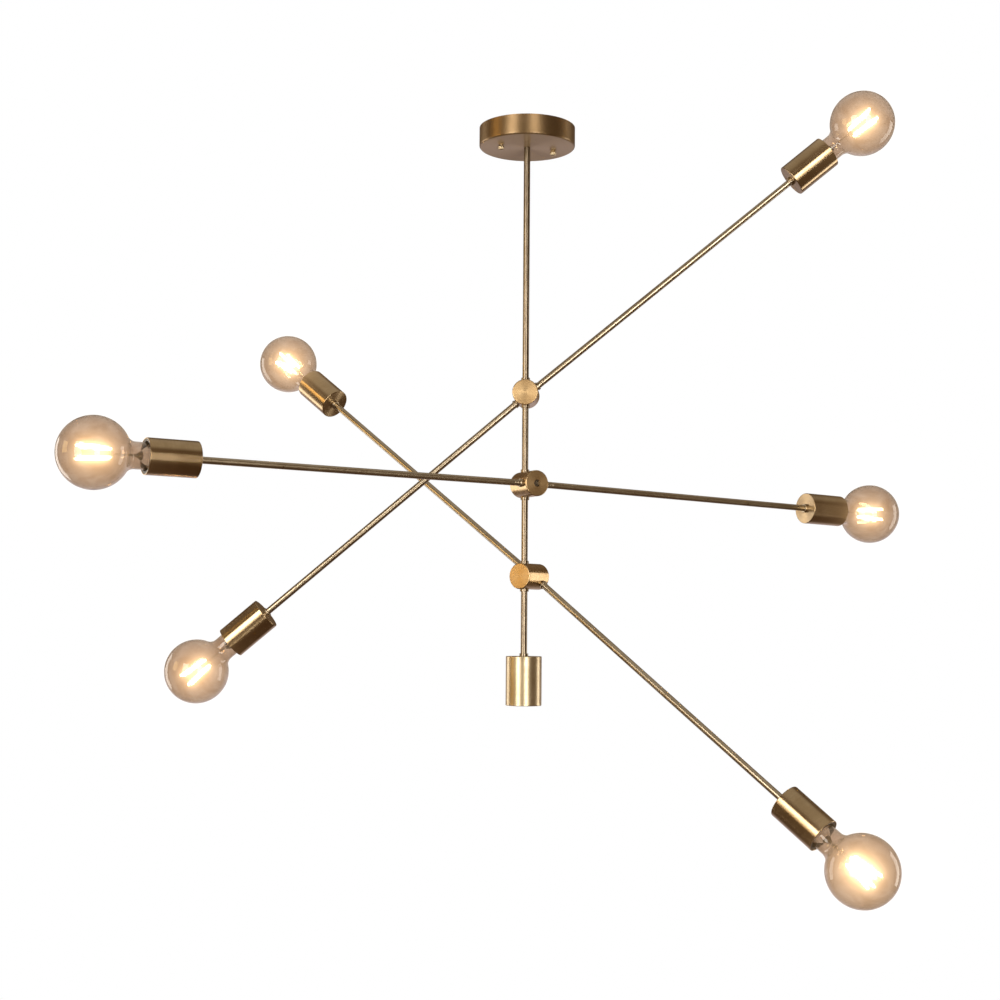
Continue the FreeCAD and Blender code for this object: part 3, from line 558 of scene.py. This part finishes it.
def make_wires(start, centre):
    """Lead wires from the pinch to the near ends, and the links across the far ends."""
    near_x, far_x = centre - CAGE_HALF, centre + CAGE_HALF
    wires = []
    for first, second, side in ((0, 1, -1), (2, 3, 1)):
        corners = [cage_corner(n, near_x, CAGE_NEAR) for n in (first, second)]
        middle = (near_x - 1.2, side * 5.2, 0)
        wires.append(wire([
            (start + 6, side * 1.5, 0),
            (start + 21, side * 1.8, 0),
            (start + 27, side * 4.6, 0),
            (near_x - 6, side * 5.6, 0),
            middle,
        ], LEAD))
        ends = [(x + 2.2, y, z) for x, y, z in corners]
        wires.append(wire([ends[0], corners[0], middle, corners[1], ends[1]], LINK))
    for first, second in ((3, 0), (1, 2)):
        corners = [cage_corner(n, far_x, CAGE_FAR) for n in (first, second)]
        inner = [(x - 2.2, y, z) for x, y, z in corners]
        bridge = [(x + 1.4, y * 0.8, z * 0.8) for x, y, z in corners]
        wires.append(wire([inner[0], corners[0], *bridge, corners[1], inner[1]], LINK))
    return wires


def make_rod(start, end, radius, bore):
    """A drawn tube with three fine marks where its thread runs out beside the drum."""
    outline = [(start, bore, 0.2), (start, radius, 0.3)]
    for mark in MARKS:
        outline += [
            (start + mark - MARK_HALF, radius, 0),
            (start + mark, radius - MARK_DEPTH, 0),
            (start + mark + MARK_HALF, radius, 0),
        ]
    outline += [(end, radius, 0.3), (end, bore, 0.2)]
    return turned(outline, segments=48)


def make_ring(start, radius, bore):
    """A small turned collar with softened corners."""
    return turned([
        (start, bore, 0),
        (start, radius, 0.6),
        (start + COLLAR, radius, 0.6),
        (start + COLLAR, bore, 0),
    ], segments=64)


def rings_on(tier, end):
    """Where each collar on a rod begins, and its radius, read from the CAD collars' corners."""
    back = ARMS[tier, end].inverted()
    points = [(back @ p) / MM for p in loose_points(f"{tier}_rod_nuts")]
    points = sorted((p for p in points if p.x > 0), key=lambda p: p.x)
    rings = []
    for point in points:
        if not rings or point.x > rings[-1][0] + COLLAR + 0.1:
            rings.append([point.x, 0])
        rings[-1][1] = max(rings[-1][1], point.yz.length)
    return rings


# Blown globes with a champagne tint: warm and clear in the middle, greyer at the outline.
glass = soda_lime_glass("champagne_tinted_blown_glass", "#d9cabd", "#c3ad9a", "#a29b98")
# Clear pressed glass, which shows as bright and dark edges only.
clear = soda_lime_glass("clear_pressed_glass", "#fdfefd", "#f6faf8", "#d5dad8")
# Lit phosphor, brighter than everything round it.
phosphor = lit_phosphor("lit_led_phosphor")
# Bright nickel: a cool mirror that picks up the filaments' warm light.
lead_metal = plain_metal("nickel_lead_wire", "#d9d4cc", "#b9b1a6", grain=0.8, roughness=0.22)
# Nickel plate on a rolled thread: warm grey and softer than the wires.
cap_metal = plain_metal("nickel_plated_screw_cap", "#b3a48f", "#94836c", grain=1.2, roughness=0.34)
# Bare brass, drawn and then rolled to a thread: yellow, with a faint grain.
shell_metal = plain_metal("drawn_brass_screw_shell", "#d9b574", "#b08a4e", grain=1.0, roughness=0.32)
# Bare turned brass: a little redder and finer grained.
journal_metal = plain_metal("turned_brass_journal", "#d4ad68", "#a9824a", grain=0.6, roughness=0.3)
# Thermoset that comes from the mould black and slightly glossy.
phenolic = moulded("black_phenolic_moulding", "#141211", "#221e1b", grain=0.9, roughness=0.38, ior=1.6)
# Soft extruded jacket over the wires: dull gold and slightly waxy.
jacket = moulded("clear_gold_pvc_jacket", "#b59a63", "#a2864f", grain=1.1, roughness=0.42)
# Unpigmented nylon: creamy and softly shiny.
nylon = moulded("natural_nylon_washer", "#e4ddcb", "#d2c8b0", grain=0.7, roughness=0.5, ior=1.53)
# Zinc plate passivated bright: bluish grey with a faint crystalline mottling.
zinc = plain_metal("bright_zinc_plated_steel", "#c9cdd1", "#a5abb1", grain=1.5, roughness=0.36)
# Green dye on the screw's head, as on every grounding screw: even and half glossy.
green = moulded("green_dyed_grounding_screw", "#1f7a3d", "#165c2d", grain=0.8, roughness=0.4)
# Oiled steel: warm grey, with darker patches.
dark_steel = plain_metal("oiled_machine_screw_steel", "#a39a8c", "#7c7366", grain=0.7, roughness=0.33)

for tier in TIERS:
    body = tier + "_arm"
    for end in ENDS:
        place = ARMS[tier, end]
        rod_axis = (place.to_3x3() @ Vector((1, 0, 0))).normalized()
        brass = brushed_brass(f"brushed_antique_brass_{tier}_{end}", place.translation, rod_axis)
        # a drawn tube has long soft marks, so it smears light less than a brushed piece
        tube_brass = brushed_brass(
            f"drawn_antique_brass_{tier}_{end}", place.translation, rod_axis,
            roughness=0.3, streak=9.0, smear=0.4, tones=TUBE,
        )
        name = f"{tier}_{{}}_{end}"

        start, stop, radius = (x / MM for x in reach("lamp_cups", tier, end))
        cup = make_cup(start, stop, radius, CUP_BORE)
        piece(name.format("cup"), [cup], place, brass, body, "antique_brass", tier + "_lamp_cups")

        start, stop, radius = (x / MM for x in reach("socket_bodies", tier, end))
        socket = make_socket(start, stop, radius, CUP_BORE)
        piece(name.format("socket"), [socket], place, phenolic, body, "black_phenolic",
              tier + "_socket_bodies")

        start, tip, ball = (x / MM for x in reach("bulb_globes", tier, end))
        globe = make_globe(start, tip, ball)
        piece(name.format("globe"), [globe], place, glass, body, "champagne_glass",
              tier + "_bulb_globes")
        centre = tip - ball

        start, stop, _ = (x / MM for x in reach("bulb_mounts", tier, end))
        piece(name.format("glass_foot"), [make_mount(start, stop)], place, clear, body,
              "clear_glass", tier + "_bulb_mounts")
        piece(name.format("filaments"), make_sticks(centre), place, phosphor, body,
              "led_filament", tier + "_led_filaments")
        piece(name.format("filament_wires"), make_wires(start, centre), place, lead_metal, body,
              "nickel_cap")

        start, stop, radius = (x / MM for x in reach("arm_rods", tier, end))
        rod = make_rod(start, stop, radius, ROD_BORE)
        piece(name.format("rod"), [rod], place, tube_brass, body, "antique_brass",
              tier + "_arm_rods")

        rings = [make_ring(at, radius, COLLAR_BORE) for at, radius in rings_on(tier, end)]
        piece(name.format("collars"), rings, place, tube_brass, body, "antique_brass",
              tier + "_rod_nuts")
    dress(tier + "_bulb_caps", cap_metal)
    dress(tier + "_socket_shells", shell_metal)
    dress(tier + "_lead_wires", jacket)

    hub, out = hub_of(tier)
    # the drums are turned finely, so they are softer than the cups; their lighter, golder tones than
    # the cups' plate are painted light on their faces
    drum_brass = brushed_brass(
        f"brushed_antique_brass_{tier}_drum", hub, out,
        roughness=0.28, streak=0.5, smear=0.3, tones=DRUM_TONES_WITH_PAINTED_LIGHT,
    )
    dress(tier + "_stem_drum", drum_brass)
    dress(tier + "_arm_drum", drum_brass)
    dress(tier + "_pivot_screw", dark_steel)
    dress(tier + "_wave_washer", dark_steel)
    dress(tier + "_friction_washer", nylon)

# ---------------------------------------------------------------------------- stem and canopy
# The finial and the nuts have a satin finish with a wide soft highlight; their pale tones are painted
# light.
finial_brass = brushed_brass(
    "brushed_antique_brass_finial", (0, 0, 0), UP, roughness=0.4, smear=0.5, tones=FINIAL_TONES_WITH_PAINTED_LIGHT
)
# The canopy is spun and satin too: its side is toned darkest as painted shade, and its flat face is
# toned paler than the side as painted light.
canopy_brass = brushed_brass(
    "brushed_antique_brass_canopy", (0, 0, 0), UP,
    roughness=0.42, smear=0.6, tones=CANOPY_TONES_WITH_PAINTED_SHADE, face="#c8b28e",
)
# The stem's drawn tubes are the greyest brass, with long soft marks.
stem_brass = brushed_brass(
    "drawn_antique_brass_stem", (0, 0, 0), UP, roughness=0.3, streak=9.0, smear=0.4, tones=STEM
)
dress("canopy_shell", canopy_brass)
for node in ("finial_shell", "finial_base_plate"):
    dress(node, finial_brass)
for node in ("stem_tube_top", "stem_tubes_middle", "stem_tube_bottom", "stem_collars"):
    dress(node, stem_brass)
for node in ("crossbar_strap", "canopy_studs", "stem_lock_nuts", "finial_lock_nut"):
    dress(node, zinc)
dress("crossbar_ground_screw", green)
dress("stem_journal_sleeves", journal_metal)
dress("stem_supply_cable", jacket)


FLUTES, FLUTE_DEPTH = 18, 0.035  # the depth is a share of the radius
FLUTE_BAND = 0.6  # how far in from the grip's radius the flutes still cut
STUD_BORE = 2.05


def make_thumb_nut(top, bottom, radius):
    """A turned nut whose grip is cut with flutes; it is made about +X, hanging down."""
    length = top - bottom
    bm = turned([
        (0, STUD_BORE, 0),
        (0, radius - 1.1, 0.3),
        (1.0, radius - 1.1, 0.2),
        (1.6, radius, 0.5),
        (length - 2.0, radius, 1.2),
        (length, radius - 1.6, 1.0),
        (length, 0, 0),
        (length - 1.2, 0, 0),
        (length - 1.2, STUD_BORE, 0),
    ], segments=144)
    for vertex in bm.verts:
        if vertex.co.yz.length > (radius - FLUTE_BAND) * MM:
            turn = math.atan2(vertex.co.z, vertex.co.y)
            cut = 1 - FLUTE_DEPTH * (1 - math.cos(FLUTES * turn))
            vertex.co.y *= cut
            vertex.co.z *= cut
    return bm


low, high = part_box("canopy_thumb_nuts")
nut_top, nut_bottom = high.z / MM, low.z / MM
nut_points = loose_points("canopy_thumb_nuts")
nut_shapes = []
for side in (-1, 1):
    own = [p for p in nut_points if p.x * side > 0]
    middle = Vector([
        (min(p[i] for p in own) + max(p[i] for p in own)) / 2 for i in (0, 1)
    ] + [high.z])
    radius = (max(p.x for p in own) - min(p.x for p in own)) / 2 / MM
    nut = make_thumb_nut(nut_top, nut_bottom, radius)
    hang = Matrix.Translation(middle) @ Matrix.Rotation(math.radians(90), 4, "Y")
    bmesh.ops.transform(nut, matrix=hang, verts=nut.verts)
    nut_shapes.append(nut)
piece("canopy_thumb_nut_pair", nut_shapes, Matrix.Identity(4), finial_brass, "ceiling_frame",
      "antique_brass", "canopy_thumb_nuts")


# ------------------------------------------------------------------------- camera, light, floor
def look(pitch, yaw, roll):
    """The camera's turn, from angles in degrees."""
    pitch, yaw, roll = (math.radians(a) for a in (pitch, yaw, roll))
    ahead = Vector((math.sin(yaw) * math.cos(pitch), math.cos(yaw) * math.cos(pitch),
                    math.sin(pitch)))
    right = Vector((math.cos(yaw), -math.sin(yaw), 0))
    above = right.cross(ahead)
    across = right * math.cos(roll) + above * math.sin(roll)
    upwards = above * math.cos(roll) - right * math.sin(roll)
    return Matrix((across, upwards, -ahead)).transposed().to_4x4()


LENS, SENSOR = 57.59, 36  # mm
CAMERA_PLACE = (-0.0236, -1.9711, -0.6207)
CAMERA_TURN = look(pitch=4.40, yaw=-0.206, roll=0.447)
camera = bpy.data.objects.new("camera", bpy.data.cameras.new("camera"))
camera.data.lens = LENS
camera.data.sensor_width = SENSOR
camera.matrix_world = Matrix.Translation(CAMERA_PLACE) @ CAMERA_TURN
scene.collection.objects.link(camera)
scene.camera = camera


def strip_light(name, bearing, distance, width, bottom, top, radiance, colour="#fff6ea"):
    """An upright soft box that faces the stem; its bearing is from the front, right positive."""
    turn = math.radians(bearing)
    middle = Vector((math.sin(turn) * distance, -math.cos(turn) * distance, (bottom + top) / 2))
    light = bpy.data.lights.new(name, "AREA")
    light.shape = "RECTANGLE"
    light.size, light.size_y = width, top - bottom
    light.energy = radiance * math.pi * width * (top - bottom)
    light.color = linear(colour)[:3]
    obj = bpy.data.objects.new(name, light)
    facing = Vector((-middle.x, -middle.y, 0)).to_track_quat("-Z", "Y").to_matrix().to_4x4()
    obj.matrix_world = Matrix.Translation(middle) @ facing
    obj.visible_camera = False
    obj.visible_transmission = False
    scene.collection.objects.link(obj)


# name, bearing, distance, width, bottom, top, radiance
strip_light("front_right_box", 16, 3.2, 0.95, -1.75, 0.65, 7.0)
strip_light("front_left_box", -36, 3.4, 1.20, -1.45, 0.95, 7.0)
strip_light("side_left_panel", -77, 3.0, 0.90, -0.50, 0.60, 3.4, "#ffd284")
strip_light("right_window", 108, 3.2, 1.0, -2.10, 0.50, 2.6)
strip_light("left_window", -121, 3.2, 1.0, -2.10, 0.50, 2.6)

TOP_SIDE, TOP_RADIANCE, TOP_HEIGHT = 3.0, 5.0, 1.6
top_light = bpy.data.objects.new("floor_light", bpy.data.lights.new("floor_light", "AREA"))
top_light.data.size = TOP_SIDE
top_light.data.energy = TOP_RADIANCE * math.pi * TOP_SIDE**2
top_light.location = (0, 0, TOP_HEIGHT)
top_light.visible_camera = False
top_light.visible_glossy = False
top_light.visible_transmission = False
scene.collection.objects.link(top_light)

world = bpy.data.worlds.new("studio")
scene.world = world
world.use_nodes = True
sky = world.node_tree
sky.nodes.clear()
rays = add(sky, "ShaderNodeLightPath")
seen = add(sky, "ShaderNodeMath", {"operation": "MAXIMUM"}, in_0=rays.outputs["Is Camera Ray"],
           in_1=rays.outputs["Is Transmission Ray"])
ways = add(sky, "ShaderNodeSeparateXYZ",
           Vector=add(sky, "ShaderNodeTexCoord").outputs["Generated"])

# The room round the object is dim, with a brown floor and a paler ceiling; a pale wall stands
# low behind the object. Each part fades in between two values of a direction's Y or Z.
fades = {}
for part, way, begins, full in (
    ("ceiling", "Z", 0.6, 0.9),
    ("ground", "Z", -0.45, -0.75),
    ("behind", "Y", 0.55, 0.95),
    ("low", "Z", 0.1, -0.15),
):
    fades[part] = add(sky, RANGE, {"interpolation_type": "SMOOTHSTEP"}, Value=ways.outputs[way],
                      From_Min=begins, From_Max=full).outputs[0]
wall = add(sky, "ShaderNodeMath", {"operation": "MULTIPLY"}, in_0=fades["behind"],
           in_1=fades["low"]).outputs[0]
room = linear("#6a5742")
for fade, paint in ((fades["ceiling"], "#b5aa9b"), (fades["ground"], "#574230"), (wall, "#c4b6b8")):
    room = add(sky, "ShaderNodeMix", {"data_type": "RGBA"}, in_0=fade, in_6=room,
               in_7=linear(paint)).outputs[2]
studio = add(sky, "ShaderNodeBackground", Color=room, Strength=1.0)
white = add(sky, "ShaderNodeBackground", Color=(1, 1, 1, 1), Strength=1.0)
surroundings = add(sky, "ShaderNodeMixShader", in_0=seen.outputs[0], in_1=studio.outputs[0],
                   in_2=white.outputs[0])
add(sky, "ShaderNodeOutputWorld", Surface=surroundings.outputs[0])

FLOOR_RADIUS, FLOOR_HEIGHT = 4.4, -2.2
floor_mesh = bpy.data.meshes.new("floor")
bm = bmesh.new()
bmesh.ops.create_circle(bm, cap_ends=True, segments=64, radius=FLOOR_RADIUS)
bmesh.ops.translate(bm, verts=bm.verts, vec=(0, 0, FLOOR_HEIGHT))
bm.to_mesh(floor_mesh)
bm.free()
floor = bpy.data.objects.new("floor", floor_mesh)
scene.collection.objects.link(floor)
# Matt white paint, which also glows a little so that it looks even from wall to wall.
floor_paint, tree = new_material("matt_white_floor_paint")
finish_shader(tree, Base_Color=linear("#565655"), Roughness=0.9,
              Emission_Color=linear("#f7f5f2"), Emission_Strength=0.84)
floor_mesh.materials.append(floor_paint)
floor.visible_glossy = False

# The lit sticks are far brighter than the lens can hold, so they bloom a little.
scene.use_nodes = True
lens = scene.node_tree
lens.nodes.clear()
picture = add(lens, "CompositorNodeRLayers").outputs["Image"]
bloom = add(lens, "CompositorNodeGlare", {"glare_type": "BLOOM"}, Image=picture, Threshold=4.5,
            Strength=3.6, Size=0.1)
add(lens, "CompositorNodeComposite", Image=bloom.outputs["Image"])
